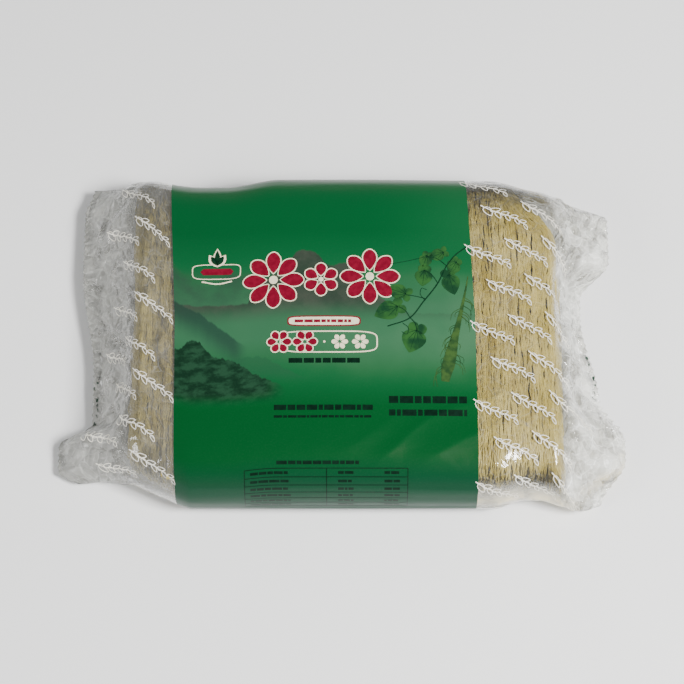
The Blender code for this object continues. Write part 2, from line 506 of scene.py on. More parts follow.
def clear_film():
    """Thin clear crinkled film: it mirrors at its creases and has a faint milky veil, whose colour also holds
    painted light and shade.
    """
    look = bpy.context.scene.noodle_pack_look
    graph = Graph("clear_film")
    u, v = graph.film_place()
    flat = graph.vector(u, v)
    warp_u, warp_v = graph.noise(flat, 0.11, 2.0), graph.noise(graph.vector(v, u, 7.0), 0.11, 2.0)
    place = graph.vector(u + 7.0 * (warp_u - 0.5), v + 7.0 * (warp_v - 0.5))
    loose = graph.attribute("loose").rise(0.0, 0.35)
    left = 1.0 - u.rise(-60.0, 0.0)
    broad = graph.cells(place, 0.115, "DISTANCE_TO_EDGE")
    leaning = graph.vector(u * 0.75 + v * 0.3 + 5.0 * warp_v, v * 0.95 - u * 0.25 + 3.0 * warp_u)
    narrow = graph.cells(leaning, 0.21, "DISTANCE_TO_EDGE")
    # A random tone for each facet: it thickens the veil on some facets and lightens or darkens it on others,
    # as painted light and shade of the folds.
    facet = 0.6 * graph.cell_tone(place, 0.115) + 0.8 * graph.cell_tone(leaning, 0.21) - 0.7
    fine = graph.noise(place, 0.9, 3.0, 0.6)
    relief = (broad + 0.34 * narrow + 0.10 * fine) * (0.16 + 0.84 * loose)
    normal = graph.bump(relief, 0.0030)
    cloud = graph.noise(place, 0.06, 4.0, 0.6)
    patches = graph.noise(flat, 0.16, 3.0, 0.65).rise(0.42, 0.62)
    # Lines along the creases where the veil thickens and turns near white: partly the film's own whitening at
    # folds, partly painted highlight.
    crease = (1.0 - broad.rise(0.0, 0.04)) * patches + 0.45 * (1.0 - narrow.rise(0.0, 0.07)) * (1.0 - patches)
    # Patches where the veil thickens and turns darker grey: painted shade in the film's hollows.
    hollow_shade = graph.noise(place, 0.21, 4.0, 0.7).rise(0.54, 0.66) * loose
    # Painted shade: towards the left seal the veil thickens and turns dark grey, standing in for the shade of
    # the block on that end.
    shade = 1.0 - u.rise(-118.0, -99.0)
    milk_share = look.film_veil * (0.5 + cloud.rise(0.3, 0.7)) * (0.25 + 3.6 * loose) + 0.12 * shade * loose
    # Painted light: a cream veil on the front side, strongest towards the right, lightens the film where the
    # block's front would be in shade.
    front_painted_light = (1.0 - v.rise(-104.0, -86.0)) * v.rise(-118.0, -102.0)
    front = front_painted_light * (0.55 + 0.45 * cloud.rise(0.35, 0.6))
    left_veil = 0.06 * (1.0 - u.rise(-94.0, -84.0)) * (1.0 - loose)
    creased = crease * (0.08 + 0.32 * loose) + 0.22 * hollow_shade
    veil = milk_share + left_veil + creased + front * (0.18 + 0.50 * (1.0 - left))
    veil = (veil + (0.34 - 0.16 * left) * facet * loose).clipped()
    fresnel = graph.node("ShaderNodeFresnel", None, {"IOR": 1.5, "Normal": normal})
    gleam = {"Color": (1.0, 1.0, 1.0), "Roughness": 0.09, "Normal": normal}
    mirror = graph.node("ShaderNodeBsdfGlossy", None, gleam)
    open_film = graph.node("ShaderNodeBsdfTransparent", None, {"Color": (0.97, 0.97, 0.945)})
    bright = graph.mix(cloud.rise(0.35, 0.65), (0.74, 0.74, 0.68), tuple(look.veil_colour))
    # The veil darker grey in the hollows and on some facets: painted shade.
    shaded_veil = graph.mix((hollow_shade * 0.8 - 0.7 * facet).clipped(), bright, (0.46, 0.46, 0.43))
    # Near white along the creases, partly whitening and partly painted highlight; dark grey at the left end
    # as painted shade.
    milky = graph.mix(shade * 0.78, graph.mix(crease * 0.8, shaded_veil, (0.98, 0.98, 0.94)), (0.29, 0.29, 0.265))
    # Cream on the front side: painted light.
    milky = graph.mix(front * (1.0 - left), milky, (0.98, 0.86, 0.55))
    cloudy = {"Base Color": milky, "Roughness": 0.30, "Normal": normal}
    milk = graph.node("ShaderNodeBsdfPrincipled", None, cloudy)
    strength = (Field(graph, fresnel.outputs["Fac"]) * 1.8).clipped()
    gloss = graph.blend(strength, open_film, mirror)
    return graph.finish(graph.blend(veil, gloss, milk).outputs[0])


def printed(graph, colour, normal=None):
    """Ink with the film's gloss over it."""
    sockets = {
        "Base Color": colour,
        "Roughness": 0.30,
        "Specular IOR Level": 0.12,
        "Coat Weight": 0.16,
        "Coat Roughness": 0.07,
    }
    if normal is not None:
        sockets["Normal"] = normal
    return graph.finish_solid(sockets)


def hill_line(graph, u, points, rough, roughness_scale):
    """Height of a hill's skyline over u: a smooth curve through a few (u, v) points, with jagged trees."""
    start, end = points[0][0], points[-1][0]
    node = graph.node("ShaderNodeFloatCurve", None, {"Value": ((u - start) / (end - start)).clipped()})
    curve = node.mapping.curves[0]
    heights = [height for _, height in points]
    bottom, top = min(heights), max(heights)
    places = [((x - start) / (end - start), (y - bottom) / (top - bottom)) for x, y in points]
    curve.points[0].location = places[0]
    curve.points[1].location = places[-1]
    for place in places[1:-1]:
        curve.points.new(*place)
    node.mapping.update()
    line = Field(graph, node.outputs["Value"]) * (top - bottom) + bottom
    jag = graph.noise(graph.vector(u, 0.0, 3.0), roughness_scale, 4.0, 0.65) - 0.5
    return line + jag * rough


def band_print():
    """The band's print: a green ground, pale mist across it, grey hills behind and dark ones in front, plus a
    painted reflection and a painted highlight.
    """
    look = bpy.context.scene.noodle_pack_look
    graph = Graph("band_print")
    u, v = graph.film_place()
    place = graph.vector(u, v)
    ground = graph.ramp(
        ((v + 120.0) / 240.0).clipped(),
        (
            (0.00, (0.003, 0.036, 0.018)),
            (0.13, (0.002, 0.042, 0.017)),
            (0.19, (0.0004, 0.052, 0.0105)),
            (0.30, (0.0004, 0.056, 0.0110)),
            (0.385, (0.006, 0.080, 0.024)),
            (0.46, (0.026, 0.105, 0.048)),
            (0.54, (0.026, 0.098, 0.046)),
            (0.62, (0.006, 0.082, 0.026)),
            (0.72, (0.0006, 0.066, 0.0165)),
            (0.90, (0.0012, 0.076, 0.0195)),
        ),
    )
    # Lighter green towards the top's right back: painted reflection of the light from the right.
    colour = graph.mix(u.rise(10.0, 75.0) * v.rise(20.0, 60.0) * 0.6, ground, (0.011, 0.090, 0.030))
    cloud = graph.noise(place, 0.022, 3.0)
    misty = v.rise(-42.0, -12.0) * (1.0 - v.rise(18.0, 38.0)) * cloud.rise(0.30, 0.80)
    colour = graph.mix(misty * (0.25 + 0.45 * u.rise(-30.0, 55.0)), colour, tuple(look.mist_colour))

    far = graph.noise(place, 0.055, 5.0, 0.62)
    hazy = ((-94, 40), (-80, 34), (-64, 36), (-48, 31), (-34, 36), (-24, 38))
    haze_line = hill_line(graph, u, hazy, 8.0, 0.10)
    haze = (haze_line - v).rise(0.0, 8.0) * v.rise(-4.0, 26.0) * (1.0 - u.rise(-44.0, -22.0))
    colour = graph.mix(haze * far.rise(0.25, 0.70) * 0.85, colour, (0.022, 0.050, 0.032))

    peaks = ((-50, 12), (-42, 24), (-31, 30), (-21, 42), (-14, 40), (-7, 33), (2, 34), (12, 22), (24, 12))
    peaks = (*peaks, (36, 5))
    peak_line = hill_line(graph, u, peaks, 3.5, 0.25)
    peak = (peak_line - v).rise(0.0, 1.4) * v.rise(-1.0, 14.0)
    rock = graph.mix(far.rise(0.35, 0.68), (0.020, 0.030, 0.022), (0.042, 0.046, 0.036))
    colour = graph.mix(peak * 0.93, colour, rock)

    ridges = ((-94, 15), (-86, 12), (-78, 9), (-70, 3), (-62, -3), (-55, -9), (-50, -13))
    ridge_line = hill_line(graph, u, ridges, 3.5, 0.30)
    below = ridge_line - v
    slope = below.rise(0.0, 1.5) * (1.0 - below.rise(4.0, 20.0)) * (1.0 - u.rise(-58.0, -49.0))
    colour = graph.mix(slope * 0.80, colour, (0.014, 0.038, 0.026))

    pale_wood = ((-60, -20), (-46, -19), (-34, -24), (-22, -30), (-12, -34))
    dark_wood = ((-94, -11), (-86, -14), (-80, -8), (-68, -17), (-58, -20), (-44, -30), (-28, -37))
    for points, low, tint, share in (
        (pale_wood, -36.0, (0.012, 0.066, 0.030), 0.55),
        (dark_wood, -47.0, None, 0.95),
    ):
        trees = hill_line(graph, u, points, 5.0, 0.42)
        streaks = graph.noise(graph.vector(u * 0.7 + v * 0.5, v * 1.5 - u * 0.4), 0.17, 4.0, 0.6)
        fade = 1.0 - u.rise(points[-1][0] - 14.0, float(points[-1][0]))
        wood = (trees - v).rise(0.0, 1.0) * v.rise(low, low + 9.0) * fade
        if tint is None:
            tint = graph.mix(streaks.rise(0.40, 0.62), (0.0035, 0.017, 0.0085), (0.012, 0.044, 0.022))
        colour = graph.mix(wood * share, colour, tint)
    lap = LAP_START - LAP_SLOPE * (u + 86.0) - v
    under_lap = lap.rise(0.0, 0.3) * (1.0 - u.rise(-30.0, -10.0))
    colour = graph.mix(under_lap * (1.0 - u.rise(-84.3, -83.9)), colour, (0.36, 0.35, 0.29))
    # A pale line along the lap's edge: painted highlight.
    rim = lap.rise(-0.9, 0.0) * (1.0 - lap.rise(0.0, 0.3)) * (1.0 - u.rise(-60.0, -30.0))
    colour = graph.mix(rim * 0.55, colour, (0.30, 0.36, 0.30))
    grain = graph.noise(place, 1.1, 2.0)
    colour = graph.mix(0.10 * grain.rise(0.4, 0.8), colour, (0.03, 0.085, 0.045))

    worn = graph.cells(place, 0.085, "DISTANCE_TO_EDGE").least(0.5)
    relief = 0.5 * worn + 0.6 * graph.noise(graph.vector(u * 0.6, v), 0.12, 3.0)
    return printed(graph, colour, graph.bump(relief, 0.0006, 0.35))


def ink(name, colour, other, scale=0.35):
    """One printed colour that varies slightly into another, under the film's gloss."""
    graph = Graph(name)
    blotch = graph.noise(graph.object_place(), scale * 1000.0, 3.0)
    return printed(graph, graph.mix(blotch.rise(0.35, 0.65), colour, other))


def white_ink():
    """Thin white ink on clear film, not quite solid."""
    look = bpy.context.scene.noodle_pack_look
    graph = Graph("white_ink")
    thin = graph.noise(graph.object_place(), 900.0, 2.0)
    colour = graph.mix(thin.rise(0.3, 0.7), tuple(look.mark_colour), (0.78, 0.74, 0.62))
    return graph.finish_solid({"Base Color": colour, "Roughness": 0.35})


def dry_noodle():
    """Straw-coloured rice strand: matt and uneven in tone, from strand to strand and along each."""
    look = bpy.context.scene.noodle_pack_look
    graph = Graph("dry_noodle")
    place = graph.object_place()
    tone = graph.attribute("tone")
    patch = graph.noise(place, 60.0, 3.0)
    streak = graph.noise(graph.stretched(place, 0.06), 900.0, 2.0)
    shade = (0.55 * tone + 0.30 * patch.rise(0.3, 0.7) + 0.25 * streak).clipped()
    colour = graph.ramp(
        shade,
        (
            (0.10, (0.250, 0.180, 0.038)),
            (0.45, tuple(look.noodle_colour)),
            (0.90, (0.520, 0.430, 0.150)),
        ),
    )
    fine = graph.noise(place, 2600.0, 2.0)
    normal = graph.bump(fine, 0.0001, 0.35)
    sockets = {"Base Color": colour, "Roughness": 0.42, "Normal": normal, "Specular IOR Level": 0.4}
    return graph.finish_solid(sockets)


def noodle_depth_painted_shade():
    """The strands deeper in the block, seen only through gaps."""
    graph = Graph("noodle_depth_painted_shade")
    place = graph.object_place()
    lines = graph.noise(graph.stretched(place, 0.04), 1100.0, 2.0)
    # Darker than the outer strands: painted shade deep in the block.
    colour = graph.mix(lines.rise(0.35, 0.65), (0.120, 0.084, 0.020), (0.300, 0.235, 0.060))
    sockets = {"Base Color": colour, "Roughness": 0.6, "Normal": graph.bump(lines, 0.0006, 0.8)}
    return graph.finish_solid(sockets)


def pale_floor():
    """A plain pale studio floor."""
    graph = Graph("pale_floor")
    tint = graph.noise(graph.object_place(), 3.0, 2.0)
    colour = graph.mix(tint, (0.90, 0.90, 0.89), (0.93, 0.93, 0.92))
    return graph.finish_solid({"Base Color": colour, "Roughness": 0.6})


# ---------------------------------------------------------------- building meshes


def clear_selection():
    if bpy.context.object and bpy.context.object.mode != "OBJECT":
        bpy.ops.object.mode_set(mode="OBJECT")
    bpy.ops.object.select_all(action="DESELECT")


def mesh_piece(name, points, faces, material):
    """An object at the origin from points and faces, riding on the pack, in place of its solid."""
    mesh = bpy.data.meshes.new(name)
    mesh.from_pydata(np.asarray(points).tolist(), [], faces)
    mesh.validate()
    mesh.shade_smooth()
    piece = bpy.data.objects.new(name, mesh)
    bpy.context.scene.collection.objects.link(piece)
    mesh.materials.append(material)
    hand_over(piece)
    return piece


def hand_over(piece):
    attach(piece, "root")
    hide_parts(PACK)


def grid_faces(rows, columns, start=0, flip=False):
    """Quads over a grid of points stored row by row."""
    corner = start + np.arange(rows - 1)[:, None] * columns + np.arange(columns - 1)[None, :]
    quads = np.stack([corner, corner + columns, corner + columns + 1, corner + 1], axis=-1).reshape(-1, 4)
    return quads[:, ::-1] if flip else quads


def write_film_map(piece, film):
    """Film coordinates as the piece's own UV map."""
    mesh = piece.data
    layer = mesh.uv_layers.new(name="film")
    corners = np.empty(len(mesh.loops), np.int32)
    mesh.loops.foreach_get("vertex_index", corners)
    layer.data.foreach_set("uv", film[corners].astype(np.float32).ravel())


def write_share(piece, name, values):
    """One number for each point, as an attribute."""
    layer = piece.data.attributes.new(name, "FLOAT", "POINT")
    layer.data.foreach_set("value", values.astype(np.float32))


# ---------------------------------------------------------------- printed shapes


class Print:
    """Shapes of one ink, laid on the film's outer face. All sizes are in millimetres of film."""

    def __init__(self, lift):
        self.lift = lift
        self.points, self.faces, self.count = [], [], 0

    def strip(self, path, widths, columns=2, closed=False):
        """A stroke along a path of (u, v) points, with one width for all or one for each point."""
        path = np.asarray(path, float)
        if closed:
            path = np.concatenate([path, path[:1]])
            ahead = np.roll(path[:-1], -1, axis=0) - np.roll(path[:-1], 1, axis=0)
            ahead = np.concatenate([ahead, ahead[:1]])
        else:
            ahead = np.gradient(path, axis=0)
        ahead = ahead / np.maximum(np.linalg.norm(ahead, axis=1, keepdims=True), 1e-9)
        side = np.column_stack([-ahead[:, 1], ahead[:, 0]])
        half = np.broadcast_to(np.asarray(widths, float) / 2.0, len(path))
        spread = np.linspace(1.0, -1.0, columns)
        grid = path[:, None, :] + side[:, None, :] * (half[:, None] * spread[None, :])[:, :, None]
        self.points.append(grid.reshape(-1, 2))
        self.faces.append(grid_faces(len(path), columns, self.count))
        self.count += grid.shape[0] * columns

    def line(self, start, end, width, step=1.0):
        """A straight stroke."""
        start, end = np.asarray(start, float), np.asarray(end, float)
        length = np.linalg.norm(end - start)
        count = max(int(length / step), 1) + 1
        columns = max(int(width / step), 1) + 1
        self.strip(start + np.linspace(0.0, 1.0, count)[:, None] * (end - start), width, columns)

    def bar(self, centre, length, height):
        """A level bar with round ends."""
        reach = np.linspace(-0.5, 0.5, max(int(length / 1.2), 12)) * length
        cap = np.clip((np.abs(reach) - length / 2.0 + height / 2.0) / (height / 2.0), 0.0, 1.0)
        widths = height * np.sqrt(np.maximum(1.0 - cap**2, 0.0))
        path = np.column_stack([centre[0] + reach, np.full_like(reach, centre[1])])
        self.strip(path, widths, max(int(height / 1.5), 1) + 1)

    def frame(self, centre, length, height, width):
        """A level outline with round ends."""
        turn = np.linspace(0.0, 2.0 * np.pi, 72, endpoint=False)
        power = 0.42
        u = centre[0] + length / 2.0 * np.sign(np.cos(turn)) * np.abs(np.cos(turn)) ** power
        v = centre[1] + height / 2.0 * np.sign(np.sin(turn)) * np.abs(np.sin(turn)) ** power
        self.strip(np.column_stack([u, v]), width, 2, closed=True)

    def leaf(self, base, angle, length, breadth, fullest=0.5, blunt=1.0):
        """A petal or leaf from its base, widest at the share fullest, and rounder-tipped as blunt falls."""
        t = 0.5 - 0.5 * np.cos(np.linspace(0.0, np.pi, 18))
        outline = np.maximum(np.sin(np.pi * t ** (math.log(0.5) / math.log(fullest))), 0.0) ** blunt
        c, s = heading(angle)
        path = np.column_stack([base[0] + t * length * c, base[1] + t * length * s])
        self.strip(path, breadth * outline, 4)

    def lay(self, skin, name, material):
        flat = np.concatenate(self.points) * MM
        placed = skin.place(flat[:, 0], flat[:, 1], self.lift * MM)
        return mesh_piece(name, placed, np.concatenate(self.faces).tolist(), material)


def smooth_path(points, count):
    """A soft curve through a few points."""
    points = np.asarray(points, float)
    steps = np.concatenate([[0.0], np.cumsum(np.linalg.norm(np.diff(points, axis=0), axis=1))])
    slopes = np.gradient(points, steps, axis=0)
    at = np.linspace(0.0, steps[-1], count)
    k = np.clip(np.searchsorted(steps, at) - 1, 0, len(points) - 2)
    span = (steps[k + 1] - steps[k])[:, None]
    t = ((at - steps[k]) / (steps[k + 1] - steps[k]))[:, None]
    pull = (2 * t**3 - 3 * t**2 + 1) * points[k] + (3 * t**2 - 2 * t**3) * points[k + 1]
    return pull + ((t**3 - 2 * t**2 + t) * slopes[k] + (t**3 - t**2) * slopes[k + 1]) * span


def blossom(print_, centre, radius, petals, grow=0.0, turn=90.0, hole=0.24):
    """A ring of round petals about an open middle. Grow widens each for an outline."""
    breadth = 2.0 * radius * math.sin(math.pi / petals) * 0.60
    for k in range(petals):
        angle = turn + 360.0 * k / petals
        c, s = heading(angle)
        start = hole * radius - grow
        base = (centre[0] + start * c, centre[1] + start * s)
        print_.leaf(base, angle, radius * (1.0 - hole) + 2.0 * grow, breadth + 2.0 * grow, 0.60, 0.55)


BLOSSOMS = (((-36.5, 23.8), 16.0, 8), ((-11.2, 24.0), 9.3, 6), ((14.8, 25.7), 15.6, 8))
EMBLEM = (-66.7, 33.2)
LEAVES = (  # base, direction, length, breadth
    ((45.5, 38.0), 250.0, 7.5, 7.0),
    ((54.5, 40.0), 205.0, 9.0, 7.0),
    ((44.0, 29.5), 262.0, 9.5, 9.5),
    ((62.0, 34.5), 235.0, 8.5, 8.5),
    ((57.0, 27.0), 285.0, 12.0, 10.5),
    ((34.0, 15.5), 160.0, 11.0, 8.5),
    ((29.5, 8.5), 205.0, 13.5, 11.0),
    ((39.5, -5.0), 252.0, 13.5, 13.0),
)
VINES = (
    (((68.0, 43.0), (61.0, 38.0), (56.0, 32.0), (51.0, 22.0), (43.0, 11.0), (36.0, 2.0), (24.0, -3.0)), 0.65),
    (((56.0, 32.0), (50.0, 36.5), (45.5, 37.5)), 0.4),
    (((51.0, 22.0), (47.5, 27.0), (44.5, 29.0)), 0.4),
    (((44.0, 13.0), (38.0, 14.5), (34.0, 15.0)), 0.4),
    (((36.0, 2.0), (33.0, 6.5), (30.0, 8.2)), 0.4),
    (((36.0, 2.0), (38.5, -1.0), (39.5, -5.0)), 0.45),
    (((26.0, 33.0), (34.0, 34.5), (44.0, 37.0)), 0.3),
    (((32.0, -1.0), (35.0, -4.0), (34.0, -7.5), (31.5, -6.0)), 0.3),
    (((44.0, 12.0), (41.5, 16.0), (42.5, 19.0), (45.0, 18.0)), 0.3),
)
ROOT = (
    (68.0, 26.0), (66.5, 19.0), (64.0, 9.0), (61.5, -1.0),
    (59.0, -11.0), (57.0, -20.0), (55.0, -28.0), (54.0, -34.0),
)
ROOT_WIDTHS = (0.5, 1.0, 1.7, 2.5, 3.8, 5.8, 7.0, 4.0)

# The white sprigs: slant in degrees, then spacings, start, half length and size in millimetres of film
MARK_TURN = -29.0
MARK_PITCH, MARK_PERIOD, MARK_STAGGER = 12.8, 34.7, 15.8
MARK_START = (9.0, 4.0)
MARK_ROUND = (-230.0, 165.0)  # how far round the pack they run
MARK_HALF, MARK_SIZE = 15.5, 0.88


def emblem(pale, crimson, leafy):
    """A sheaf of leaves in outline over a small ribbon, with a curved line beneath."""
    u, v = EMBLEM
    for angle, length in ((90, 11.0), (58, 8.5), (122, 8.5)):
        pale.leaf((u, v + 0.4), angle, length, 4.4)
        leafy.leaf((u, v + 1.3), angle, length - 2.0, 2.9)
    pale.frame((u, v - 2.4), 25.0, 8.4, 0.5)
    crimson.bar((u, v - 2.4), 17.5, 3.6)
    for k in range(-2, 3):
        pale.bar((u + 3.1 * k, v - 2.4), 1.3, 1.3)
    pale.strip(smooth_path(((u - 8, v - 8.0), (u, v - 9.4), (u + 8, v - 8.0)), 14), 0.8)


def dashes(print_, start, end, v, height, random, pace=3.2):
    """A level row of short bars of uneven length."""
    u = start
    while u < end - 1.0:
        length = min(random.uniform(0.6, 2.4) * pace, end - u)
        print_.line((u, v), (u + length, v), height)
        u += length + 0.26 * pace


def titles(pale, crimson, dark, random):
    """The band's headings and small print, as medallions and plain bars."""
    for centre, radius, petals in BLOSSOMS:
        blossom(pale, centre, radius, petals, grow=0.6)
        blossom(crimson, centre, radius, petals)
        pale.bar(centre, 0.30 * radius, 0.30 * radius)
    pale.bar((-9.5, 0.0), 38.0, 5.2)
    crimson.frame((-9.5, 0.0), 38.0, 5.4, 0.7)
    dashes(crimson, -25.0, 6.0, 0.0, 1.7, random, 2.2)
    for u in (-33.0, -19.5):
        blossom(pale, (u, -11.8), 6.3, 6, grow=0.6, turn=60.0)
        blossom(crimson, (u, -11.8), 6.3, 6, turn=60.0)
    pale.bar((-9.3, -11.8), 1.3, 1.3)
    pale.frame((-7.0, -11.8), 51.0, 11.8, 0.7)
    for u in (-1.2, 9.6):
        blossom(pale, (u, -11.8), 4.4, 6, turn=0.0, hole=0.18)
    dashes(dark, -28.0, 10.5, -22.4, 2.7, random, 3.0)
    dashes(dark, -35.4, 16.0, -48.6, 2.9, random, 3.0)
    dashes(dark, -35.4, 16.0, -53.6, 1.3, random, 2.0)
    dashes(dark, 24.5, 65.0, -44.2, 3.9, random, 3.4)
    dashes(dark, 24.5, 65.0, -51.4, 3.4, random, 3.2)


def table(dark, random):
    """A ruled table that starts on the top's front edge and runs down the front side."""
    left, right, top, pitch, rows = -50.6, 34.1, -81.0, 4.6, 6
    dashes(dark, -34.0, 9.8, -78.0, 1.9, random, 2.4)
    for k in range(rows + 1):
        dark.line((left, top - pitch * k), (right, top - pitch * k), 0.42)
    for u in (left, -8.0, right):
        dark.line((u, top), (u, top - pitch * rows), 0.42)
    for k in range(rows):
        v = top - pitch * (k + 0.5)
        dashes(dark, left + 3.0, left + 24.0, v, 1.5, random, 2.2)
        dashes(dark, -2.0, 6.0, v, 1.5, random, 2.2)
        dashes(dark, 22.0, 30.0, v, 1.5, random, 2.2)


def plant(leafy, deep, tan, random):
    """A vine with heart-shaped leaves, and a long root with fine rootlets."""
    for points, width in VINES:
        deep.strip(smooth_path(points, 12 * len(points)), width)
    for base, angle, length, breadth in LEAVES:
        leafy.leaf(base, angle, length, breadth, 0.36, 0.8)
        for turn in (118.0, -118.0):
            leafy.leaf(base, angle + turn, 0.40 * length, 0.46 * breadth, 0.5, 0.6)
        for turn, share in ((0.0, 0.86), (24.0, 0.55), (-24.0, 0.55), (52.0, 0.42), (-52.0, 0.42)):
            c, s = heading(angle + turn)
            end = (base[0] + share * length * c, base[1] + share * length * s)
            deep.strip(smooth_path((base, end), 8), np.linspace(0.36, 0.12, 8))
    count = 40
    path = smooth_path(ROOT, count)
    widths = np.interp(np.linspace(0.0, len(ROOT) - 1.0, count), np.arange(len(ROOT)), ROOT_WIDTHS)
    tan.strip(path, widths, 5)
    for k in range(26):
        at = random.integers(8, count - 2)
        side = 1.0 if k % 2 else -1.0
        start = path[at] + np.array([side * widths[at] * 0.35, 0.0])
        reach = random.uniform(3.0, 8.5)
        bend = start + np.array([side * reach * 0.55, -reach * random.uniform(0.2, 0.6)])
        end = bend + np.array([side * random.uniform(-0.5, 2.0), -random.uniform(2.0, 8.0)])
        tan.strip(smooth_path((start, bend, end), 9), np.linspace(0.42, 0.14, 9))


def sprig(print_, centre, turn, size):
    """A rice ear: a stem with a grain's outline on either side in turn."""
    c, s = math.cos(turn), math.sin(turn)

    def put(path, width, closed=False):
        path = np.asarray(path) * size
        turned = np.column_stack([path[:, 0] * c - path[:, 1] * s, path[:, 0] * s + path[:, 1] * c])
        print_.strip(turned + centre, width, 2, closed)

    t = np.linspace(-1.0, 1.0, 22)
    put(np.column_stack([15.0 * t, 0.7 * np.sin(3.0 * t)]), 0.42 - 0.18 * t)
    ring = np.linspace(0.0, 2.0 * np.pi, 11, endpoint=False)
    for k in range(9):
        at = -12.0 + 3.1 * k
        side = 1.0 if k % 2 else -1.0
        length, breadth = (2.9 - 0.11 * k, 1.35 - 0.05 * k) if k else (3.4, 1.9)
        lean = side * 0.62
        p = length * np.cos(ring) + length * 0.8
        q = breadth * np.sin(ring) * (1.0 - 0.35 * np.cos(ring))
        stem = 0.7 * math.sin(at / 5.0)
        grain = [at + p * math.cos(lean) - q * math.sin(lean), stem + p * math.sin(lean) + q * math.cos(lean)]
        put(np.column_stack(grain), 0.40 - 0.012 * k, closed=True)


def film_marks(low, high):
    """Sprigs in slanting rows over the whole of one clear end, between two places along the film."""
    white = Print(0.11)
    c, s = heading(MARK_TURN)
    inset = 0.2 * MARK_HALF * c
    for row in range(-60, 61):
        for k in range(-24, 25):
            along, over = MARK_PERIOD * k + MARK_STAGGER * row, MARK_PITCH * row
            centre = np.array([along * c - over * s, along * s + over * c]) + MARK_START
            inside = low + inset < centre[0] < high - inset and MARK_ROUND[0] < centre[1] < MARK_ROUND[1]
            if inside:
                sprig(white, centre, math.radians(MARK_TURN), MARK_SIZE)
    return white


# ---------------------------------------------------------------- film pieces


def film_part(skin, name, first, last, material):
    """One length of the tube, from station first to last, closed round the pack and at a seal."""
    rows = slice(first, last + 1)
    count = last - first + 1
    over, under = skin.over[rows], skin.under[rows][:, ::-1]
    ring = np.concatenate([over, under[:, 1:-1]], axis=1)
    around = ring.shape[1]
    film_around = np.concatenate([skin.over_around[rows], skin.under_around[rows][:, -2:0:-1]], axis=1)
    film = np.stack(np.broadcast_arrays(skin.along[rows, None], film_around), axis=-1).reshape(-1, 2)
    corner = np.arange(count - 1)[:, None] * around + np.arange(around)[None, :]
    after = np.arange(count - 1)[:, None] * around + (np.arange(around) + 1)[None, :] % around
    faces = [np.stack([corner, corner + around, after + around, after], axis=-1).reshape(-1, 4)]
    half = skin.over.shape[1]
    for end, is_seal, flip in ((0, first == 0, False), (count - 1, last == len(skin.stations) - 1, True)):
        if is_seal:
            k = np.arange(half - 1)
            top, top_next = end * around + k, end * around + k + 1
            low = end * around + (2 * half - 2 - k) % around
            low_next = end * around + (2 * half - 3 - k) % around
            cap = np.stack([top, top_next, low_next, low], axis=-1)
            faces.append(cap[:, ::-1] if flip else cap)
    quads = [list(dict.fromkeys(quad)) for quad in np.concatenate(faces).tolist()]
    piece = mesh_piece(name, ring.reshape(-1, 3), [quad for quad in quads if len(quad) > 2], material)
    write_film_map(piece, film)
    loose = np.broadcast_to(skin.closed[rows, None], ring.shape[:2]).reshape(-1)
    write_share(piece, "loose", loose)
    return piece


# ---------------------------------------------------------------- noodles


def film_top(x, y, closed):
    """Height of the film's top before its folds, at x and y."""
    front, back = front_edge(x), back_edge(x)
    across = np.clip((y - 0.5 * (front + back)) / (0.5 * (back - front)), -0.999, 0.999)
    fullness = TOP_FULLNESS + (END_FULLNESS - TOP_FULLNESS) * closed
    widest = widest_height(x, across, closed)
    over_block = widest + (crown_height(x) - widest) * np.sqrt(1.0 - np.abs(across) ** fullness)
    return over_block + (widest - over_block) * closed


def corner_slant(x, y):
    """How far the block's right end is drawn in towards its back corner."""
    return -0.024 * ease(0.052, 0.086, y) * ease(0.080, 0.115, x)


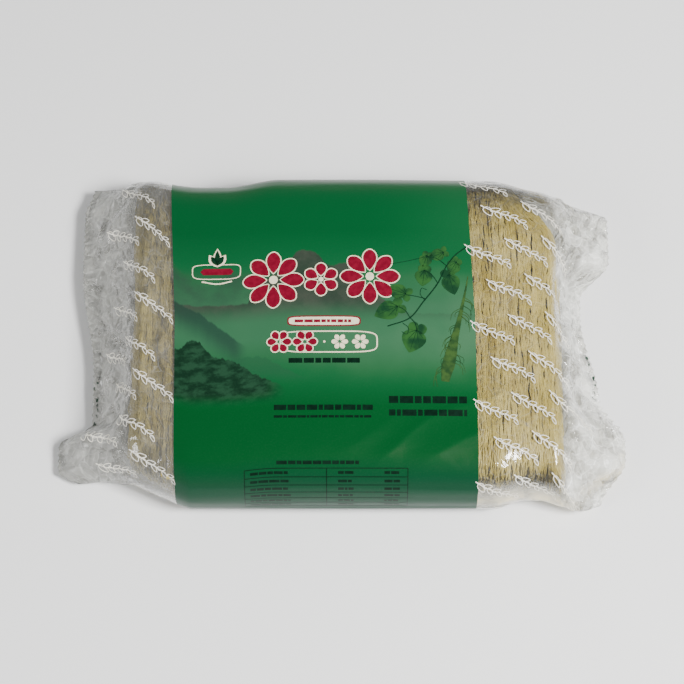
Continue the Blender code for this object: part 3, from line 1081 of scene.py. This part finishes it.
class Block:
    """The pressed block of noodles: loops of strands that run round it, across the pack."""

    DEPTH, LOW, HIGH, SQUARENESS = 0.0835, 0.0012, 0.0440, 4.6
    FINE, COARSE = 0.0022, 0.0060  # spacing of a strand's points on top, and underneath
    WANDER = ((3, 1.0), (7, 0.8), (15, 0.45), (31, 0.38), (43, 0.28))  # waves round a loop, and their sizes
    RIPPLES = (9, 23, 37)
    SIDE_ROOM = 0.0085  # from the strands' sides to the film's outline

    def __init__(self, seed):
        self.random = np.random.default_rng(seed)
        self.skeins = Heights(seed + 1)

    def path(self, inset):
        """Y, z and the way walked round the section, as an open list of points on a closed loop."""
        turn = np.linspace(0.0, 2.0 * np.pi, 2401)
        power = 2.0 / self.SQUARENESS
        half = 0.5 * (self.HIGH - self.LOW)
        c, s = np.cos(turn), np.sin(turn)
        y = (self.DEPTH - inset) * np.sign(c) * np.abs(c) ** power
        z = 0.5 * (self.HIGH + self.LOW) + (half - inset) * np.sign(s) * np.abs(s) ** power
        step = np.hypot(np.diff(y), np.diff(z))
        spacing = np.where((z[:-1] < 0.006) & (np.abs(y[:-1]) < 0.074), self.COARSE, self.FINE)
        count = np.concatenate([[0.0], np.cumsum(step / spacing)])
        stops = np.linspace(0.0, count[-1], int(count[-1]) + 1)[:-1]
        walked = np.concatenate([[0.0], np.cumsum(step)])
        return [np.interp(stops, count, values) for values in (y, z, walked)]

    def strand(self, x, inset):
        """One loop at about x: it wanders with its skein and by itself, and is held below the film's top."""
        y, z, walked = self.path(max(inset, 0.0))
        total = 2.0 * np.pi / (walked[-1] + self.FINE)
        wander = np.zeros_like(y)
        for turns, size in self.WANDER:
            phase, scale = self.random.uniform(0.0, 6.28), self.random.uniform(0.4, 1.0)
            wander = wander + size * scale * MM * np.sin(turns * walked * total + phase)
        together = self.skeins.waves(np.full_like(y, x * 120.0), walked * 26.0)
        rise = np.zeros_like(y)
        for turns in self.RIPPLES:
            phase = self.random.uniform(0.0, 6.28)
            rise = rise + 0.16 * MM * np.sin(turns * walked * total + phase)
        x = x + wander + 1.3 * MM * together
        x = x + corner_slant(x, y)
        side = np.where(y < 0.0, -front_edge(x), back_edge(x))
        y = y * np.minimum(1.0, (side - self.SIDE_ROOM) / self.DEPTH)
        closed = closing(x)
        middle = 0.5 * (self.HIGH + self.LOW)
        skein = self.skeins.waves(x * 140.0, walked * 9.0 + 30.0)
        groove = 1.0 * MM * ease(0.1, 0.9, np.abs(skein)) - 0.4 * MM
        shrink = 1.0 - (groove - rise) / np.hypot(y * 0.25, z - middle).clip(0.012)
        y, z = y * shrink, middle + (z - middle) * shrink
        slack = (1.9 + 1.6 * ease(0.01, 0.30, closed)) * MM
        z = np.minimum(z, film_top(x, y, closed) - slack)
        return np.column_stack([x, y, np.maximum(z, self.LOW)])

    def wrap(self, low, high, inset, pitch):
        """Strands side by side from low to high."""
        places = np.arange(low, high, pitch)
        places = places + self.random.uniform(-0.3, 0.3, len(places)) * pitch
        return [self.strand(x, inset + self.random.uniform(0.0, 0.3) * MM) for x in places]

    def stack(self, outer, inward, pitch):
        """Strands that fill the block's end face, each loop inside the last, in staggered columns."""
        found = []
        for column in range(3):
            for inset in np.arange(0.0016 + 0.4 * column * pitch, 0.0195, pitch):
                found.append(self.strand(outer + inward * column * 0.9 * pitch, inset))
        return found


def strand_piece(name, strands, width, sides, material, seed):
    """Closed round strands as one mesh, with a tone for each."""
    clear_selection()
    curve = bpy.data.curves.new(name, "CURVE")
    curve.dimensions = "3D"
    curve.bevel_depth = width / 2.0
    curve.bevel_resolution = (sides - 4) // 2
    for points in strands:
        spline = curve.splines.new("POLY")
        spline.points.add(len(points) - 1)
        spline.points.foreach_set("co", np.column_stack([points, np.ones(len(points))]).ravel())
        spline.use_cyclic_u = True
        spline.use_smooth = True
    piece = bpy.data.objects.new(name, curve)
    bpy.context.scene.collection.objects.link(piece)
    piece.select_set(True)
    bpy.context.view_layer.objects.active = piece
    bpy.ops.object.convert(target="MESH")
    tones = np.random.default_rng(seed).uniform(0.0, 1.0, len(strands))
    shares = np.repeat(tones, [len(points) * sides for points in strands])
    if len(shares) != len(piece.data.vertices):
        raise RuntimeError(f"{name}: {len(piece.data.vertices)} points, not {len(shares)}")
    write_share(piece, "tone", shares)
    piece.data.shade_smooth()
    piece.data.materials.clear()
    piece.data.materials.append(material)
    hand_over(piece)
    return piece


# ---------------------------------------------------------------- add-on

SKIN = None


def the_skin():
    """The film's shape, worked out once."""
    global SKIN
    if SKIN is None:
        SKIN = Skin()
    return SKIN


class NoodlePackSizes(bpy.types.PropertyGroup):
    """Sizes of the noodles and of the print."""

    strand_width: FloatProperty(
        name="Strand width", description="Thickness of one dried strand", default=0.00092, unit="LENGTH"
    )
    strand_pitch: FloatProperty(
        name="Strand spacing", description="Distance between two strands", default=0.00088, unit="LENGTH"
    )
    layers: IntProperty(name="Layers", description="Layers of strands over the core", default=3, min=1)
    seed: IntProperty(name="Seed", description="Picks one way that the strands lie", default=5)


class NoodlePackLook(bpy.types.PropertyGroup):
    """Colours and film clarity."""

    noodle_colour: FloatVectorProperty(
        name="Noodle", description="Middle colour of a strand", subtype="COLOR", default=(0.385, 0.308, 0.068)
    )
    veil_colour: FloatVectorProperty(
        name="Film veil", description="Colour of the milky veil", subtype="COLOR", default=(0.94, 0.94, 0.88)
    )
    film_veil: FloatProperty(
        name="Veil", description="How milky the film is", default=0.10, min=0.0, max=1.0, subtype="FACTOR"
    )
    mark_colour: FloatVectorProperty(
        name="Marks", description="White ink on the clear film", subtype="COLOR", default=(0.93, 0.90, 0.80)
    )
    mist_colour: FloatVectorProperty(
        name="Mist", description="Pale green mist on the band", subtype="COLOR", default=(0.055, 0.140, 0.070)
    )


class NOODLEPACK_OT_film(bpy.types.Operator):
    """Make the film: a clear left end, the printed band and a clear right end"""

    bl_idname = "noodle_pack.film"
    bl_label = "Film"

    def execute(self, context):
        skin = the_skin()
        last = len(skin.stations) - 1
        clear = clear_film()
        film_part(skin, "film_left", 0, STEPS_LEFT, clear)
        film_part(skin, "film_band", STEPS_LEFT, STEPS_LEFT + STEPS_BAND, band_print())
        film_part(skin, "film_right", STEPS_LEFT + STEPS_BAND, last, clear)
        return {"FINISHED"}


class NOODLEPACK_OT_noodles(bpy.types.Operator):
    """Make the noodles: a core, strands wrapped round it at both ends, and strands on its end faces"""

    bl_idname = "noodle_pack.noodles"
    bl_label = "Noodles"

    def execute(self, context):
        sizes = context.scene.noodle_pack_sizes
        straw = dry_noodle()
        ends = (
            ("left", BLOCK_LEFT + 0.0012, BAND_LEFT + 0.008, 1),
            ("right", BAND_RIGHT - 0.008, BLOCK_RIGHT - 0.0012, -1),
        )
        for name, low, high, inward in ends:
            for layer in range(sizes.layers):
                block = Block(sizes.seed + 10 * layer + inward)
                strands = block.wrap(low, high, layer * 0.8 * sizes.strand_width, sizes.strand_pitch)
                sides, shade = 6 if layer == 0 else 4, layer + 60 + inward
                strand_piece(f"strands_{name}_{layer}", strands, sizes.strand_width, sides, straw, shade)
            block = Block(sizes.seed + 77 + inward)
            outer = low if inward > 0 else high
            strands = block.stack(outer, inward, 1.25 * sizes.strand_pitch)
            strand_piece(f"strands_{name}_face", strands, sizes.strand_width, 4, straw, 50 + inward)
        self.core()
        return {"FINISHED"}

    @staticmethod
    def core():
        """What lies deeper than the modelled strands."""
        clear_selection()
        left, right, inset = BLOCK_LEFT + 0.0065, BLOCK_RIGHT - 0.0085, 0.0042
        low, high = Block.LOW + inset, Block.HIGH - inset
        depth = Block.DEPTH - inset
        bpy.ops.mesh.primitive_cube_add(
            size=1.0,
            location=((left + right) / 2.0, 0.0, (low + high) / 2.0),
            scale=(right - left, 2.0 * depth, high - low),
        )
        core = bpy.context.object
        core.name = core.data.name = "noodle_core"
        bpy.ops.object.transform_apply(location=True, rotation=True, scale=True)
        bpy.ops.object.mode_set(mode="EDIT")
        bpy.ops.mesh.select_all(action="SELECT")
        bpy.ops.mesh.bevel(offset=0.013, segments=6, profile=0.5)
        bpy.ops.object.mode_set(mode="OBJECT")
        for vertex in core.data.vertices:
            vertex.co.x += float(corner_slant(vertex.co.x + 0.004, vertex.co.y + 0.002))
            vertex.co.y *= 1.0 - 0.13 * float((1.0 - ease(-0.110, -0.080, vertex.co.x)) * (vertex.co.y < 0.0))
        core.data.materials.append(noodle_depth_painted_shade())
        core.data.shade_smooth()
        hand_over(core)


class NOODLEPACK_OT_print(bpy.types.Operator):
    """Lay the print on the film: plain shapes on the band, white sprigs on both clear ends, and short dark
    marks by the seals as painted shadow
    """

    bl_idname = "noodle_pack.print"
    bl_label = "Print"

    def execute(self, context):
        skin = the_skin()
        random = np.random.default_rng(context.scene.noodle_pack_sizes.seed)
        pale, crimson, dark = Print(0.08), Print(0.12), Print(0.08)
        leafy, deep, tan = Print(0.10), Print(0.13), Print(0.09)
        titles(pale, crimson, dark, random)
        table(dark, random)
        emblem(pale, crimson, deep)
        plant(leafy, deep, tan, random)
        pale.lay(skin, "print_cream", ink("cream_ink", (0.78, 0.72, 0.50), (0.66, 0.62, 0.43)))
        crimson.lay(skin, "print_crimson", ink("crimson_ink", (0.175, 0.005, 0.020), (0.135, 0.003, 0.014)))
        dark.lay(skin, "print_dark", ink("dark_ink", (0.0008, 0.0100, 0.0045), (0.0015, 0.0150, 0.0070)))
        leafy.lay(skin, "print_leaf", ink("leaf_ink", (0.022, 0.088, 0.020), (0.006, 0.036, 0.014), 0.14))
        deep.lay(skin, "print_vine", ink("vine_ink", (0.0012, 0.020, 0.0080), (0.004, 0.030, 0.012)))
        tan.lay(skin, "print_root", ink("root_ink", (0.036, 0.082, 0.020), (0.014, 0.044, 0.014), 0.2))
        # Short dark marks by both seals: painted shadow in the folded, toothed seal.
        shadow_flecks = Print(0.08)
        right_end, left_end = skin.along[-1] / MM, skin.along[0] / MM
        for end, low, high, count in ((right_end, -26.0, 0.0, 13), (left_end, -55.0, -30.0, 8)):
            inward = -1.0 if end > 0.0 else 1.0
            for _ in range(count):
                start = np.array([end + inward * random.uniform(0.5, 3.0), random.uniform(low, high)])
                reach = np.array([random.uniform(-0.8, 0.8), random.uniform(0.8, 2.6)])
                shadow_flecks.line(start, start + reach, random.uniform(0.5, 1.4), 0.6)
        shadow_flecks.lay(skin, "print_flecks", ink("shadow_fleck_ink", (0.012, 0.030, 0.020), (0.035, 0.065, 0.045), 2.0))
        white = white_ink()
        film_marks(SEAL_LEFT / MM, BAND_LEFT / MM).lay(skin, "marks_left", white)
        film_marks(BAND_RIGHT / MM, SEAL_RIGHT / MM).lay(skin, "marks_right", white)
        return {"FINISHED"}


class NOODLEPACK_OT_stage(bpy.types.Operator):
    """Set the floor, soft lights and camera"""

    bl_idname = "noodle_pack.stage"
    bl_label = "Stage"

    def execute(self, context):
        clear_selection()
        bpy.ops.mesh.primitive_plane_add(size=6.0, location=(0.0, 0.0, 0.0))
        floor = context.object
        floor.name = "floor"
        floor.data.materials.append(pale_floor())
        floor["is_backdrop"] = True
        self.lamp("window", (0.72, -0.38, 1.12), 0.40, 41.0)
        self.lamp("fill", (-1.25, -0.55, 0.75), 0.7, 13.0)
        world = self.sky()
        context.scene.world = world
        self.camera(context)
        return {"FINISHED"}

    @staticmethod
    def sky():
        """A soft studio: pale round the horizon, dark overhead."""
        world = bpy.data.worlds.new("studio")
        world.use_nodes = True
        tree = world.node_tree
        direction = tree.nodes.new("ShaderNodeTexCoord")
        parts = tree.nodes.new("ShaderNodeSeparateXYZ")
        fall = tree.nodes.new("ShaderNodeMapRange")
        fall.interpolation_type = "SMOOTHSTEP"
        for name, value in (("From Min", 0.15), ("From Max", 0.80), ("To Min", 0.70), ("To Max", 0.14)):
            fall.inputs[name].default_value = value
        tree.links.new(direction.outputs["Generated"], parts.inputs[0])
        tree.links.new(parts.outputs["Z"], fall.inputs["Value"])
        backdrop = tree.nodes["Background"]
        backdrop.inputs["Color"].default_value = (0.96, 0.98, 1.0, 1.0)
        tree.links.new(fall.outputs["Result"], backdrop.inputs["Strength"])
        return world

    @staticmethod
    def lamp(name, place, size, power):
        light = bpy.data.lights.new(name, "AREA")
        light.size = size
        light.energy = power
        lamp = bpy.data.objects.new(name, light)
        lamp.location = place
        lamp.rotation_euler = (Vector((0.0, 0.0, 0.02)) - Vector(place)).to_track_quat("-Z", "Y").to_euler()
        bpy.context.scene.collection.objects.link(lamp)

    @staticmethod
    def camera(context):
        """Looks down on the pack from its front, well above it."""
        elevation, distance, aim = math.radians(68.0), 1.22, Vector((0.0, 0.0, 0.015))
        lens = bpy.data.cameras.new("camera")
        lens.lens = 118.7
        lens.sensor_width = 36.0
        camera = bpy.data.objects.new("camera", lens)
        camera.location = aim + distance * Vector((0.0, -math.cos(elevation), math.sin(elevation)))
        camera.rotation_euler = (math.radians(90.0) - elevation, 0.0, 0.0)
        context.scene.collection.objects.link(camera)
        context.scene.camera = camera


OPERATORS = (NOODLEPACK_OT_noodles, NOODLEPACK_OT_film, NOODLEPACK_OT_print, NOODLEPACK_OT_stage)


class NOODLEPACK_PT_panel(bpy.types.Panel):
    """Lists the pack's pieces, sizes and colours"""

    bl_idname = "NOODLEPACK_PT_panel"
    bl_label = "Noodle Pack"
    bl_space_type = "VIEW_3D"
    bl_region_type = "UI"
    bl_category = "Noodle Pack"

    def draw(self, context):
        for operator in OPERATORS:
            self.layout.operator(operator.bl_idname)
        for group in (context.scene.noodle_pack_sizes, context.scene.noodle_pack_look):
            for name in group.__annotations__:
                self.layout.prop(group, name)


CLASSES = (NoodlePackSizes, NoodlePackLook, *OPERATORS, NOODLEPACK_PT_panel)


def register():
    for kind in CLASSES:
        bpy.utils.register_class(kind)
    bpy.types.Scene.noodle_pack_sizes = PointerProperty(type=NoodlePackSizes)
    bpy.types.Scene.noodle_pack_look = PointerProperty(type=NoodlePackLook)


def unregister():
    del bpy.types.Scene.noodle_pack_look
    del bpy.types.Scene.noodle_pack_sizes
    for kind in reversed(CLASSES):
        bpy.utils.unregister_class(kind)


def main():
    register()
    bpy.ops.noodle_pack.noodles()
    bpy.ops.noodle_pack.film()
    bpy.ops.noodle_pack.print()
    bpy.ops.noodle_pack.stage()


if __name__ == "__main__":
    main()
